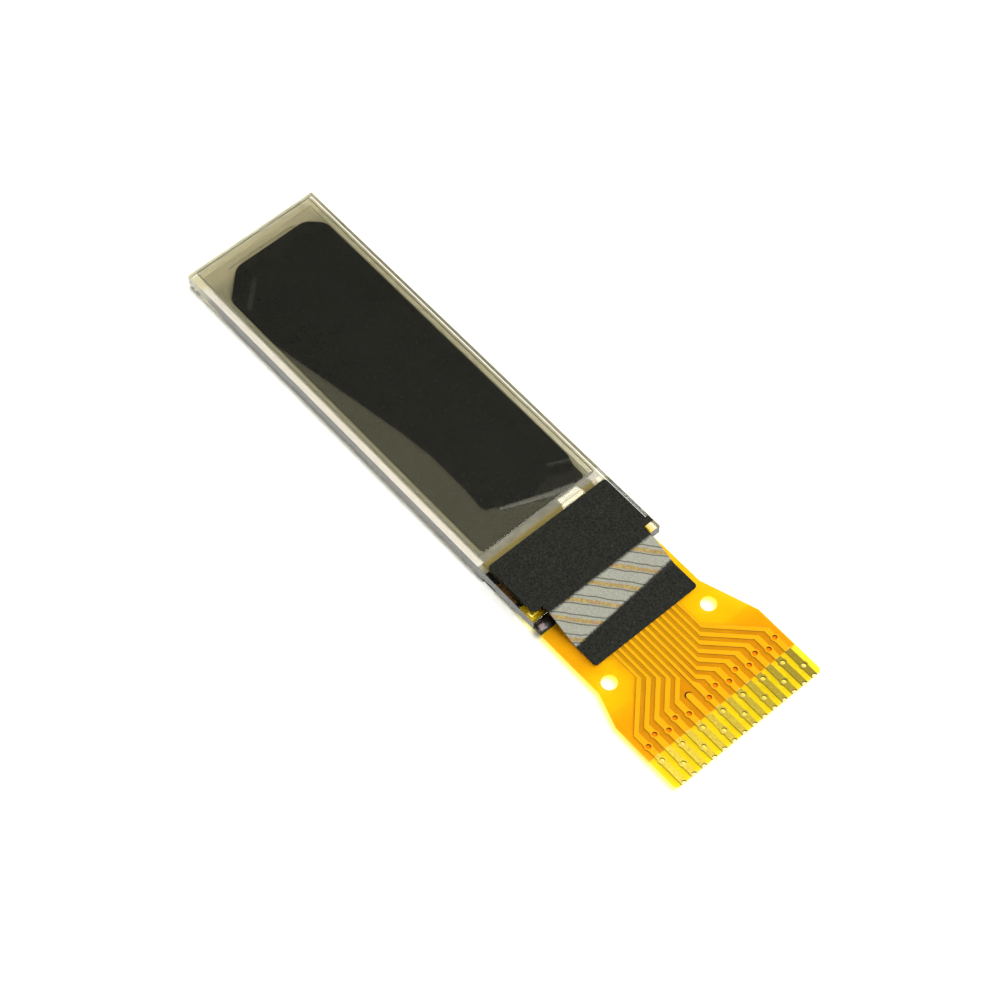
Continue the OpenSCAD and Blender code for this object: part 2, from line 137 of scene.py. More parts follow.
class OLED_PG_stage(bpy.types.PropertyGroup):
    """Floor, lamp and camera"""

    floor_side: length("Floor side", "Side of the square floor", 1.6, top=5.0)
    lens: bpy.props.FloatProperty(
        name="Lens", description="Focal length of the camera", default=96.857,
        subtype="DISTANCE_CAMERA",
    )
    camera_place: position("Camera place", "Where the camera stands",
                           (0.056872, -0.044024, 0.111363))
    camera_aim: position("Camera aim", "Point that the camera looks at",
                         (0.007087, -0.000797, 0.00106))
    camera_roll: bpy.props.FloatProperty(
        name="Camera roll", description="Turn of the camera about its own axis",
        default=math.radians(-0.114), subtype="ANGLE",
    )
    room_light: bpy.props.FloatProperty(
        name="Room light", description="Strength of the even light of the room", default=0.5,
        min=0.0, max=5.0,
    )
    lamp_power: bpy.props.FloatProperty(
        name="Lamp power", description="Power of the large soft lamp", default=3.0, min=0.0,
        max=500.0, unit="POWER",
    )
    lamp_place: position("Lamp place", "Where the lamp hangs", (0.14, 0.16, 0.5))
    lamp_side: length("Lamp side", "Side of the square lamp", 0.36)


# ---------------------------------------------------------------------------------------------
# Building finishes
# ---------------------------------------------------------------------------------------------


class Finish:
    """Builds the nodes of one finish. Patterns read Object coordinates, which are metres."""

    def __init__(self, name):
        self.material = bpy.data.materials.new(name)
        self.material.use_nodes = True
        self.tree = self.material.node_tree
        self.tree.nodes.clear()
        self.place = self.add("ShaderNodeTexCoord").outputs["Object"]

    def add(self, kind, sockets=None, **settings):
        node = self.tree.nodes.new(kind)
        for key, value in settings.items():
            setattr(node, key, value)
        for key, value in (sockets or {}).items():
            if isinstance(value, bpy.types.NodeSocket):
                self.tree.links.new(value, node.inputs[key])
            else:
                node.inputs[key].default_value = value
        return node

    def math(self, operation, a, b=0.0, c=0.0):
        return self.add("ShaderNodeMath", {0: a, 1: b, 2: c}, operation=operation).outputs[0]

    def axis(self, letter):
        return self.add("ShaderNodeSeparateXYZ", {0: self.place}).outputs[letter]

    def noise(self, size, detail=2.0, stretch=None, roughness=0.5):
        place = self.place
        if stretch:
            place = self.add("ShaderNodeMapping", {"Vector": place, "Scale": stretch}).outputs[0]
        return self.add(
            "ShaderNodeTexNoise",
            {"Vector": place, "Scale": 1.0 / size, "Detail": detail, "Roughness": roughness},
        ).outputs[0]

    def cells(self, size):
        """How far each point is from the middle of its cell, for cells of about this size."""
        return self.add(
            "ShaderNodeTexVoronoi", {"Vector": self.place, "Scale": 1.0 / size}
        ).outputs["Distance"]

    def spread(self, value, low, high, to_low=0.0, to_high=1.0, smooth=False):
        """Runs from to_low to to_high while the value goes from low to high."""
        return self.add(
            "ShaderNodeMapRange",
            {0: value, 1: low, 2: high, 3: to_low, 4: to_high},
            interpolation_type="SMOOTHSTEP" if smooth else "LINEAR",
        ).outputs[0]

    def across(self, noise, to_low=0.0, to_high=1.0):
        """Runs from to_low to to_high over the range that holds nearly all of a noise."""
        return self.spread(noise, 0.3, 0.7, to_low, to_high)

    def both(self, one, other):
        """The part that two masks share."""
        return self.math("MULTIPLY", one, other)

    def window(self, value, outer_low, low, high, outer_high):
        """A mask that is full from low to high and fades out to the outer values."""
        return self.both(self.spread(value, outer_low, low), self.spread(value, outer_high, high))

    def wobble(self, noise, reach):
        """A length that sways by up to this reach to either side."""
        return self.math("MULTIPLY_ADD", noise, 2 * reach, -reach)

    def blend(self, factor, a, b, how="MIX"):
        node = self.add("ShaderNodeMix", data_type="RGBA", blend_type=how)
        for index, value in ((0, factor), (6, with_alpha(a)), (7, with_alpha(b))):
            if isinstance(value, bpy.types.NodeSocket):
                self.tree.links.new(value, node.inputs[index])
            else:
                node.inputs[index].default_value = value
        return node.outputs[2]

    def varied(self, base, size, amount, detail=3.0):
        """The base colour, made a little lighter and darker in soft patches."""
        light = tuple(min(1.0, c * (1 + amount)) for c in base)
        dark = tuple(c * (1 - amount) for c in base)
        return self.blend(self.across(self.noise(size, detail)), dark, light)

    def bump(self, height, distance, strength=1.0):
        return self.add(
            "ShaderNodeBump", {"Height": height, "Distance": distance, "Strength": strength}
        ).outputs[0]

    def shader(self, **sockets):
        named = {key.replace("_", " "): value for key, value in sockets.items()}
        return self.add("ShaderNodeBsdfPrincipled", named).outputs[0]

    def glow_through(self, tint):
        return self.add("ShaderNodeBsdfTranslucent", {"Color": tint}).outputs[0]

    def see_through(self, tint):
        return self.add("ShaderNodeBsdfTransparent", {"Color": with_alpha(tint)}).outputs[0]

    def mix(self, factor, a, b):
        return self.add("ShaderNodeMixShader", {0: factor, 1: a, 2: b}).outputs[0]

    def lets_lamps_through(self, shader, tint):
        """Lamps reach what lies behind a clear piece, which glass alone would keep dark."""
        shadow_ray = self.add("ShaderNodeLightPath").outputs["Is Shadow Ray"]
        return self.mix(shadow_ray, shader, self.see_through(tint))

    def left_side(self):
        """Mask of the module's left side, with the pads towards the viewer."""
        return self.spread(self.axis("Y"), -2.5 * MM, -3.0 * MM)

    def shade_between_tracks(self):
        """Mask over the fan of tracks under the coverlay, whose gaps get browner painted shade.
        """
        x = self.axis("X")
        fan_start, fan_end = COVER_END - 3.7 * MM, COVER_END - 1.6 * MM
        half_width = self.spread(x, fan_start, fan_end, 2.07 * MM, 4.15 * MM)
        outside = self.math("SUBTRACT", self.math("ABSOLUTE", self.axis("Y")), half_width)
        return self.both(self.spread(outside, 0.06 * MM, -0.08 * MM),
                         self.spread(x, COVER_END - 0.01 * MM, COVER_END - 0.06 * MM))

    def right_border(self):
        """Mask along the right side, from nothing at the middle to full at the near end."""
        beyond = self.spread(self.axis("Y"), FILM_HIGH.y - 0.2 * MM, FILM_HIGH.y + 0.1 * MM)
        return self.both(beyond, self.spread(self.axis("X"), 0.0, FILM_HIGH.x))

    def clear_corner(self):
        """Mask of the ledge's left end corner, where no leads run and the gold mark shows."""
        corner_start = LEDGE_END - 1.29 * MM
        return self.both(self.spread(self.axis("X"), corner_start, corner_start + 0.04 * MM),
                         self.spread(self.axis("Y"), -2.75 * MM, -2.8 * MM))

    def done(self, shader):
        self.tree.links.new(shader, self.add("ShaderNodeOutputMaterial").inputs["Surface"])
        return self.material


def with_alpha(tint):
    """A colour that fits a node's colour socket. A link stays as it is."""
    return tint if isinstance(tint, bpy.types.NodeSocket) else (*tint[:3], 1.0)


def times(tint, factor):
    """The colour made lighter or darker by a factor."""
    return tuple(min(1.0, c * factor) for c in tint)


# ---------------------------------------------------------------------------------------------
# Glass and polarizer
# ---------------------------------------------------------------------------------------------


def clear_glass(tones):
    look = Finish("clear glass")
    # Painted shade tints the right end corner, yellow next to the tape and paler further out, for
    # the shaded floor seen through it
    y = look.axis("Y")
    corner = look.both(
        look.spread(look.axis("X"), LEDGE_END - 0.95 * MM, LEDGE_END - 0.85 * MM),
        look.spread(y, GLASS_HIGH.y - 0.7 * MM, GLASS_HIGH.y - 0.65 * MM),
    )
    paler = look.spread(y, GLASS_HIGH.y - 0.4 * MM, GLASS_HIGH.y - 0.2 * MM, smooth=True)
    corner_shade_tint = look.blend(paler, (0.8, 0.62, 0.15), (0.96, 0.92, 0.75))
    shader = look.shader(
        Base_Color=look.blend(corner, look.varied(tones.glass, 3 * MM, 0.006), corner_shade_tint),
        Roughness=look.spread(look.noise(1.6 * MM, 3.0), 0.3, 0.8, 0.0, 0.008),
        IOR=1.5,
        Transmission_Weight=1.0,
        Normal=look.bump(look.noise(4 * MM, 1.0), 0.00005 * MM),
    )
    return look.done(look.lets_lamps_through(shader, tones.glass))


def scribed_glass():
    """Scribed edge of a plate: a ribbed grey satin, with dark painted shade on the left of the
    ledge's end face.
    """
    look = Finish("scribed glass edge")
    ribs = look.noise(0.1 * MM, 3.0, stretch=(1.0, 1.0, 0.15))
    wear = look.spread(look.noise(0.7 * MM, 3.0), 0.35, 0.65)
    end_face = look.spread(look.axis("X"), LEDGE_END - 0.03 * MM, LEDGE_END - 0.01 * MM)
    # Painted shade: the left of the ledge's end face is dark
    end_shade = look.both(end_face, look.left_side())
    grey = look.blend(wear, (0.7, 0.68, 0.68), (0.82, 0.84, 0.78))
    shader = look.shader(
        Base_Color=look.blend(end_shade, grey, (0.04, 0.035, 0.02)),
        Roughness=look.across(ribs, 0.12, 0.2),
        IOR=1.5,
        Transmission_Weight=0.85,
        Normal=look.bump(ribs, 0.004 * MM, 0.4),
    )
    return look.done(look.lets_lamps_through(shader, (0.8, 0.81, 0.78)))


def lit_glass_edge():
    """Edge painted with the light that it takes up from the seal: cream by the seal, and grey
    painted shade along the ledge.
    """
    look = Finish("lit glass edge")
    wear = look.noise(0.4 * MM, 3.0)
    # Along the ledge the edge is grey painted shade
    ledge = look.spread(look.axis("X"), CAP_HIGH.x, CAP_HIGH.x + 0.1 * MM)
    cream = look.blend(look.spread(wear, 0.35, 0.65), (0.72, 0.68, 0.45), (0.84, 0.8, 0.6))
    shader = look.shader(
        Base_Color=look.blend(ledge, cream, (0.14, 0.14, 0.13)),
        Roughness=look.across(wear, 0.3, 0.4),
        IOR=1.5,
        Transmission_Weight=0.3,
        Normal=look.bump(wear, 0.004 * MM, 0.3),
    )
    return look.done(look.lets_lamps_through(shader, (0.9, 0.88, 0.75)))


def etched_step():
    """Step round the cap's pocket, so thin that light goes straight on through it. Its greyish
    tint is painted shade from the polarizer.
    """
    look = Finish("etched step")
    cloud = look.noise(0.3 * MM, 2.0)
    return look.done(look.see_through(look.blend(cloud, (0.74, 0.71, 0.58), (0.8, 0.77, 0.66))))


def frosted_glass():
    """Frosted inner side of the cap, greyish painted shade where it shows round the film."""
    look = Finish("frosted glass")
    frost = look.noise(0.06 * MM, 4.0)
    far = look.spread(look.axis("X"), FILM_LOW.x + 0.6 * MM, FILM_LOW.x)
    # The greyish base is painted shade; the far end and the near right border are lighter
    base = look.blend(far, (0.45, 0.415, 0.285), (0.66, 0.6, 0.42))
    base = look.blend(look.right_border(), base, (0.64, 0.6, 0.45))
    base = look.blend(look.across(frost, 0.0, 0.25), base, (0.35, 0.33, 0.24))
    matt = look.shader(
        Base_Color=base,
        Roughness=look.across(frost, 0.6, 0.8),
        Specular_IOR_Level=0.1,
        Normal=look.bump(frost, 0.003 * MM, 0.4),
    )
    return look.done(look.mix(0.5, matt, look.glow_through(base)))


def polarizer_clear(tones):
    """Clear plastic with a grey tint and a very slight sway in its gloss."""
    look = Finish("polarizer")
    shader = look.shader(
        Base_Color=look.varied(tones.polarizer, 2.5 * MM, 0.02),
        Roughness=look.across(look.noise(1.2 * MM, 2.0), 0.005, 0.012),
        IOR=1.49,
        Transmission_Weight=1.0,
        Normal=look.bump(look.noise(6 * MM, 1.0), 0.00005 * MM),
    )
    one_pass = tuple(math.sqrt(c) for c in tones.polarizer)
    return look.done(look.lets_lamps_through(shader, one_pass))


def polarizer_side():
    look = Finish("polarizer cut edge")
    layers = look.noise(0.05 * MM, 2.0, stretch=(0.1, 0.1, 1.0))
    return look.done(look.shader(
        Base_Color=look.blend(layers, (0.2, 0.2, 0.17), (0.33, 0.33, 0.28)),
        Roughness=look.across(layers, 0.3, 0.5),
        Normal=look.bump(layers, 0.004 * MM, 0.5),
    ))


# ---------------------------------------------------------------------------------------------
# Between the plates and on the ledge
# ---------------------------------------------------------------------------------------------


def dark_film(tones):
    look = Finish("emitting film")
    grain = look.noise(0.12 * MM, 4.0)
    return look.done(look.shader(
        Base_Color=look.varied(tones.film, 0.15 * MM, 0.25),
        Roughness=look.across(grain, 0.25, 0.4),
        Specular_IOR_Level=0.3,
        Normal=look.bump(grain, 0.001 * MM, 0.3),
    ))


def seal_resin(tones):
    """Cloudy resin: cream on the left, olive painted shade on the far and right sides, grey on
    the ledge.
    """
    look = Finish("seal resin")
    cloud = look.noise(0.6 * MM, 4.0)
    x, y = look.axis("X"), look.axis("Y")
    right = look.spread(y, FILM_LOW.y + 0.1 * MM, FILM_LOW.y + 0.6 * MM)
    far = look.spread(x, FILM_LOW.x + 0.1 * MM, FILM_LOW.x - 0.2 * MM)
    near = look.both(look.spread(x, FILM_HIGH.x - 0.05 * MM, FILM_HIGH.x + 0.02 * MM),
                     look.spread(y, GLASS_LOW.y + 0.45 * MM, GLASS_LOW.y + 0.55 * MM))
    # Painted shade: the seal is olive away from the left side
    base = look.blend(right, tones.seal, tones.seal_in_shade)
    base = look.blend(far, base, (0.44, 0.4, 0.25))
    base = look.blend(look.right_border(), base, (0.52, 0.49, 0.36))
    base = look.blend(near, base, (0.1, 0.088, 0.06))
    return look.done(look.shader(
        Base_Color=look.blend(look.across(cloud, 0.0, 0.2), base, (0.45, 0.43, 0.36)),
        Roughness=look.across(cloud, 0.35, 0.55),
        Normal=look.bump(cloud, 0.002 * MM, 0.4),
    ))


def desiccant():
    look = Finish("desiccant sheet")
    weave = look.noise(0.04 * MM, 3.0)
    return look.done(look.shader(
        Base_Color=look.blend(weave, (0.5, 0.46, 0.27), (0.62, 0.57, 0.36)),
        Roughness=look.across(weave, 0.7, 0.9),
        Normal=look.bump(weave, 0.01 * MM, 0.6),
    ))


def lead_metal():
    """Rows of very fine leads across the ledge, seen as a golden olive strip."""
    look = Finish("panel leads")
    row_width = 0.24 * MM
    lines = look.add(
        "ShaderNodeTexWave",
        {"Vector": look.place, "Scale": 1.0 / row_width, "Distortion": 0.6, "Detail": 1.0},
        wave_type="BANDS", bands_direction="Y",
    ).outputs["Fac"]
    shader = look.shader(
        Base_Color=look.blend(lines, (0.11, 0.085, 0.02), (0.26, 0.2, 0.06)),
        Metallic=0.6,
        Roughness=look.spread(lines, 0.0, 1.0, 0.5, 0.35),
        Normal=look.bump(lines, 0.002 * MM, 0.4),
    )
    return look.done(look.mix(look.clear_corner(), shader, look.see_through((0.9, 0.87, 0.6))))


def silicon(tones):
    look = Finish("silicon")
    swirl = look.noise(0.08 * MM, 4.0, stretch=(1.0, 0.15, 1.0))
    return look.done(look.shader(
        Base_Color=look.varied(tones.silicon, 0.2 * MM, 0.2),
        Metallic=0.5,
        Roughness=look.across(swirl, 0.25, 0.4),
        Normal=look.bump(swirl, 0.001 * MM, 0.3),
    ))


def bond_film():
    """Film of glue with conductive balls in it."""
    look = Finish("bond film")
    balls = look.cells(0.02 * MM)
    shader = look.shader(
        Base_Color=look.blend(balls, (0.25, 0.22, 0.12), (0.5, 0.45, 0.3)),
        Roughness=look.spread(balls, 0.0, 0.6, 0.35, 0.6),
        Normal=look.bump(balls, 0.002 * MM, 0.4),
    )
    return look.done(look.mix(look.clear_corner(), shader, look.see_through((0.9, 0.85, 0.5))))


def resin_bead(tones):
    """Glue in dark painted shadow under the tape's slope, with one greyish pink bare patch by the
    left edge.
    """
    look = Finish("resin bead")
    lumps = look.noise(0.12 * MM, 3.0)
    ragged = look.wobble(lumps, 0.1 * MM)
    patch_start, patch_side = GLUE_LOW.x + 0.02 * MM, GLUE_LOW.y + 0.12 * MM
    fade = 0.08 * MM
    patch = look.both(
        look.window(look.math("ADD", look.axis("Y"), ragged), patch_side, patch_side + fade,
                    patch_side + 0.38 * MM - fade, patch_side + 0.38 * MM),
        look.window(look.math("ADD", look.axis("X"), ragged), patch_start, patch_start + fade,
                    patch_start + 0.34 * MM - fade, patch_start + 0.34 * MM),
    )
    # The nearly black base is painted shadow
    return look.done(look.shader(
        Base_Color=look.blend(patch, (0.012, 0.01, 0.007), tones.resin),
        Roughness=look.across(lumps, 0.2, 0.45),
        Specular_IOR_Level=0.2,
        Normal=look.bump(lumps, 0.01 * MM, 0.5),
    ))


# ---------------------------------------------------------------------------------------------
# Tapes
# ---------------------------------------------------------------------------------------------


def tape_black(look, tones):
    """Black with a fine grain and a few pale specks of dust."""
    dust = look.spread(look.cells(0.55 * MM), 0.06, 0.03)
    base = look.varied(tones.tape, 0.09 * MM, 0.9, 4.0)
    return look.blend(dust, base, (0.1, 0.1, 0.09))


def tape_surface(look, base):
    grain = look.noise(0.05 * MM, 4.0, roughness=0.7)
    return look.shader(
        Base_Color=base,
        Roughness=look.across(grain, 0.45, 0.7),
        Specular_IOR_Level=0.15,
        Normal=look.bump(grain, 0.008 * MM, 0.6),
    )


def black_tape(tones):
    look = Finish("black tape")
    return look.done(tape_surface(look, tape_black(look, tones)))


def reflection_band(look, x, y):
    """Mask of the painted reflection, a pale band that crosses the slope, a little wider on the
    left.
    """
    fuzz = look.wobble(look.noise(0.12 * MM, 3.0, roughness=0.6), 0.1 * MM)
    start = look.math("ADD", x, fuzz)
    end = look.math("MULTIPLY_ADD", y, 0.075, start)
    return look.both(look.spread(start, 0.04 * MM, 0.24 * MM, smooth=True),
                     look.spread(end, 1.84 * MM, 1.68 * MM, smooth=True))


def front_tape(tones):
    """The black tape again, with a painted reflection on its slope: a pale band with slanting
    gold stripes.
    """
    look = Finish("front tape")
    x = look.math("SUBTRACT", look.axis("X"), LEDGE_END)
    y = look.axis("Y")
    # Distance from the middle of the nearest stripe, along the tape's width
    pitch, slant, first = 1.37 * MM, 1.12, -3.458 * MM
    sway = look.wobble(look.noise(0.5 * MM, 1.0), 0.08 * MM)
    along = look.math("MULTIPLY_ADD", x, -slant, look.math("ADD", y, sway))
    turns = look.math("MULTIPLY_ADD", along, 1.0 / pitch, 0.5 - first / pitch)
    off = look.math("MULTIPLY", look.math("SUBTRACT", look.math("FRACT", turns), 0.5), pitch)
    gold = look.spread(look.math("ABSOLUTE", off), 0.18 * MM, 0.1 * MM, smooth=True)

    def line(place):
        away = look.math("ABSOLUTE", look.math("SUBTRACT", off, place))
        return look.spread(away, 0.065 * MM, 0.02 * MM, smooth=True)

    # In the painted reflection, two dark hairlines run beside each gold stripe, which is dulled
    # in patches
    hairlines = look.math("MAXIMUM", line(0.37 * MM), line(-0.24 * MM))
    patches = look.spread(look.noise(0.25 * MM, 2.0), 0.52, 0.62)
    bright_reflected_gold = look.varied(tones.tape_reflection_gold, 0.1 * MM, 0.35, 4.0)
    stripe = look.blend(patches, bright_reflected_gold, (0.33, 0.2, 0.13))
    # The pale colour is part of the painted reflection
    satin = look.varied(tones.tape_reflection_pale, 0.07 * MM, 0.2, 4.0)
    reflected_stripes = look.blend(gold, satin, stripe)
    reflected_lined = look.blend(look.math("MULTIPLY", hairlines, 0.85), reflected_stripes, (0.07, 0.075, 0.05))
    # The painted reflection lies over the black tape
    base = look.blend(reflection_band(look, x, y), tape_black(look, tones), reflected_lined)
    return look.done(tape_surface(look, base))


# ---------------------------------------------------------------------------------------------
# Flex
# ---------------------------------------------------------------------------------------------


def shade_under_ledge(look, x, base):
    """The film's colour where it lies under the ledge, in painted shade: brown under the bond
    with a dark painted shadow band across it, olive further on.
    """
    bond_end = LEDGE_END - 1.2 * MM
    fade = 0.06 * MM
    blotches = look.spread(look.noise(0.2 * MM, 3.0), 0.35, 0.65)
    ledge_shade = look.blend(blotches, (0.2, 0.12, 0.015), (0.6, 0.33, 0.07))
    band = look.window(x, bond_end - 0.33 * MM, bond_end - 0.28 * MM, bond_end - fade, bond_end)
    ledge_shade = look.blend(band, ledge_shade, (0.02, 0.014, 0.006))
    shade_under_glass = look.spread(x, LEDGE_END - 0.1 * MM, LEDGE_END - 0.2 * MM)
    olive = look.blend(look.math("MULTIPLY", shade_under_glass, 0.5), base, (0.5, 0.4, 0.005))
    return look.blend(look.spread(x, bond_end - fade, bond_end), ledge_shade, olive)


def corner_shade(look, x):
    """Mask of the left corner by the glass end, where painted shadow darkens the film."""
    along = look.both(
        look.spread(x, LEDGE_END - 0.42 * MM, LEDGE_END - 0.2 * MM, smooth=True),
        look.spread(x, LEDGE_END + 0.5 * MM, LEDGE_END + 0.4 * MM),
    )
    return look.both(along, look.left_side())


def stub_crescent(look, x):
    """Mask of a dark crescent at the far end of the track that stops short."""
    low, high = max((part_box(name) for name in CONDUCTORS), key=lambda box: box[0].x)
    middle = (low.x + 0.12 * MM, (low.y + high.y) / 2, 0.0)
    flat = look.add("ShaderNodeCombineXYZ", {0: x, 1: look.axis("Y")}).outputs[0]
    away = look.add("ShaderNodeVectorMath", {0: flat, 1: middle}, operation="DISTANCE")
    return look.both(look.spread(away.outputs["Value"], 0.21 * MM, 0.19 * MM),
                     look.spread(x, middle[0] + 0.03 * MM, middle[0]))


def amber_film(tones):
    """Clear amber film: part of the light passes, part is scattered in it."""
    look = Finish("amber film")
    grain = look.noise(0.08 * MM, 3.0)
    x = look.axis("X")
    base = look.varied(tones.amber, 1.2 * MM, 0.04)
    base = shade_under_ledge(look, x, base)
    # Painted shadow darkens the film at the left corner by the glass end
    base = look.blend(corner_shade(look, x), base, (0.09, 0.07, 0.006))
    track_shade = look.shade_between_tracks()
    # Painted shade makes the gaps between the tracks browner
    base = look.blend(track_shade, base, (0.76, 0.73, 1.0), "MULTIPLY")
    # Painted shade darkens the left side of the neck, next to the tape
    neck_shade = look.spread(x, LEDGE_END + 4.35 * MM, LEDGE_END + 2.35 * MM, smooth=True)
    base = look.blend(look.both(neck_shade, look.left_side()), base, (0.84, 0.72, 1.0), "MULTIPLY")
    crescent = stub_crescent(look, x)
    base = look.blend(crescent, base, (0.02, 0.01, 0.001))
    solid = look.shader(
        Base_Color=base,
        Roughness=look.across(grain, 0.3, 0.45),
        Specular_IOR_Level=0.1,
        Normal=look.bump(grain, 0.001 * MM, 0.4),
    )
    body = look.mix(0.4, solid, look.glow_through(base))
    clear = look.see_through(look.varied(tones.amber_tint, 1.5 * MM, 0.02))
    solid_share = look.math("MAXIMUM", look.spread(track_shade, 0.0, 1.0, 0.5, 0.7), crescent)
    film = look.mix(solid_share, clear, body)
    return look.done(look.lets_lamps_through(film, tones.amber_tint))


def coverlay_film(tones):
    """Thin clear cover film with its amber glue: glossy, and a little milky."""
    look = Finish("coverlay")
    grain = look.noise(0.05 * MM, 3.0)
    tint = look.see_through(look.varied(tones.coverlay, 0.9 * MM, 0.015))
    relief = look.bump(grain, 0.001 * MM, 0.4)
    gloss = look.add(
        "ShaderNodeBsdfGlossy",
        {"Color": (1.0, 1.0, 1.0, 1.0), "Roughness": look.across(grain, 0.1, 0.15),
         "Normal": relief},
    ).outputs[0]
    facing = look.add("ShaderNodeLayerWeight", {"Blend": 0.5, "Normal": relief})
    slant = look.math("POWER", facing.outputs["Facing"], 3.0)
    film = look.mix(look.spread(slant, 0.0, 1.0, 0.04, 0.6), tint, gloss)
    return look.done(look.lets_lamps_through(film, tones.coverlay))


def backing_film(tones):
    """Cover film on the back with its glue: a deeper orange, and cloudier."""
    look = Finish("backing film")
    grain = look.noise(0.1 * MM, 3.0)
    deep = look.varied((0.95, 0.57, 0.004), 1.0 * MM, 0.04)
    into = look.spread(look.axis("X"), BACKING_LOW.x, BACKING_LOW.x + 1.1 * MM, smooth=True)
    base = look.blend(into, (0.97, 0.8, 0.004), deep)
    matt = look.shader(
        Base_Color=base,
        Roughness=look.across(grain, 0.3, 0.45),
        Specular_IOR_Level=0.2,
        Normal=look.bump(grain, 0.001 * MM, 0.4),
    )
    body = look.mix(0.5, matt, look.glow_through(base))
    return look.done(look.lets_lamps_through(body, tones.amber_tint))


def bright_copper(tones):
    """Copper under the coverlay is bright, and the bare pads are gilt and duller."""
    look = Finish("plated copper")
    grain = look.noise(0.035 * MM, 4.0, roughness=0.65)
    bare = look.spread(look.axis("X"), COVER_END - 0.01 * MM, COVER_END + 0.01 * MM)
    # Painted reflection makes the gilt brightest on the left and dullest on the right, and the
    # gilt is worn in streaks
    reflection_fade = look.spread(look.axis("Y"), FLEX_LOW.y, FLEX_HIGH.y)
    gilt = look.blend(reflection_fade, times(tones.gilt, 1.5), times(tones.gilt, 0.45))
    streaks = look.noise(0.05 * MM, 3.0, stretch=(0.3, 1.0, 1.0))
    gilt = look.blend(look.spread(streaks, 0.35, 0.7, 0.0, 0.5), gilt, (0.12, 0.1, 0.02))
    copper = look.blend(look.across(grain), times(tones.copper, 0.9), tones.copper)
    return look.done(look.shader(
        Base_Color=look.blend(bare, copper, gilt),
        Metallic=0.6,
        Roughness=look.across(grain, 0.4, 0.6),
        Specular_IOR_Level=0.2,
        Normal=look.bump(grain, 0.003 * MM, 0.5),
    ))


def shaded_flank_finish():
    """Dark painted shade on the etched flanks of the conductors, the walls of their plated holes
    and their broken edges on the shaded side.
    """
    look = Finish("shaded copper flank")
    bite = look.noise(0.02 * MM, 3.0)
    return look.done(look.shader(
        Base_Color=look.blend(bite, (0.04, 0.018, 0.002), (0.16, 0.08, 0.01)),
        Metallic=0.2,
        Roughness=look.across(bite, 0.4, 0.6),
        Normal=look.bump(bite, 0.003 * MM, 0.5),
    ))


def gold_mark():
    look = Finish("gold mark")
    grain = look.noise(0.03 * MM, 2.0)
    return look.done(look.shader(
        Base_Color=look.blend(grain, (0.95, 0.78, 0.14), (1.0, 0.88, 0.3)),
        Roughness=look.across(grain, 0.4, 0.5),
        Normal=look.bump(grain, 0.001 * MM, 0.3),
    ))


# ---------------------------------------------------------------------------------------------
# Stage finishes
# ---------------------------------------------------------------------------------------------


def floor_sheet(tones):
    look = Finish("pale floor")
    fibre = look.noise(0.4 * MM, 3.0)
    return look.done(look.shader(
        Base_Color=look.varied(tones.floor, 4 * MM, 0.004),
        Roughness=look.across(fibre, 0.8, 0.95),
        Specular_IOR_Level=0.1,
        Normal=look.bump(fibre, 0.002 * MM, 0.2),
    ))


def glowing_card(name, light):
    """A card that glows a little unevenly."""
    look = Finish(name)
    strength = look.spread(look.noise(20 * MM, 2.0), 0.0, 1.0, 0.9, 1.1)
    glow = look.add("ShaderNodeEmission", {"Color": with_alpha(light), "Strength": strength})
    return look.done(glow.outputs[0])


# ---------------------------------------------------------------------------------------------
# Modelling by hand
# ---------------------------------------------------------------------------------------------

# Meshes are worked on at a thousand times their size, because edges this fine would be lost
WORK_SCALE = 1000.0
MERGE_DISTANCE = 0.0005
FLAT_ANGLE = math.radians(1.0)
SHARP_ANGLE = math.radians(40.0)
# Material slots of the glass plates
CLEAR, SCRIBED, LIT, STEP, FROSTED = range(5)


def deselect():
    if bpy.context.object and bpy.context.object.mode != "OBJECT":
        bpy.ops.object.mode_set(mode="OBJECT")
    for piece in list(bpy.context.selected_objects):
        piece.select_set(False)


def make_active(piece):
    deselect()
    piece.select_set(True)
    bpy.context.view_layer.objects.active = piece


def edit(piece):
    make_active(piece)
    bpy.ops.object.mode_set(mode="EDIT")
    bpy.ops.mesh.select_mode(type="VERT")
    bpy.ops.mesh.select_all(action="SELECT")


def leave():
    bpy.ops.object.mode_set(mode="OBJECT")


def resize(piece, factor):
    piece.data.transform(Matrix.Scale(factor, 4))
    piece.data.update()


def block(name, low, high):
    """A block that fills the box from low to high, with its place in its mesh."""
    deselect()
    middle = (Vector(low) + Vector(high)) / 2
    size = Vector(high) - Vector(low)
    bpy.ops.mesh.primitive_cube_add(size=1.0, location=middle, scale=size)
    piece = bpy.context.object
    piece.name = piece.data.name = name
    bpy.ops.object.transform_apply(location=True, rotation=True, scale=True)
    return piece


def node_copy(node, name):
    """A merged copy of a CAD part, ready to be shaped."""
    piece = bpy.data.objects.new(name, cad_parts[node].data.copy())
    piece.data.name = name
    bpy.context.scene.collection.objects.link(piece)
    resize(piece, WORK_SCALE)
    edit(piece)
    bpy.ops.mesh.remove_doubles(threshold=MERGE_DISTANCE)
    bpy.ops.mesh.normals_make_consistent(inside=False)
    bpy.ops.mesh.dissolve_limited(angle_limit=FLAT_ANGLE)
    leave()
    resize(piece, 1 / WORK_SCALE)
    return piece


def shrink(piece, distance):
    """Draws every face of a closed piece inwards by the same small distance."""
    resize(piece, WORK_SCALE)
    edit(piece)
    bpy.ops.transform.shrink_fatten(value=-distance * WORK_SCALE, use_even_offset=True)
    leave()
    resize(piece, 1 / WORK_SCALE)


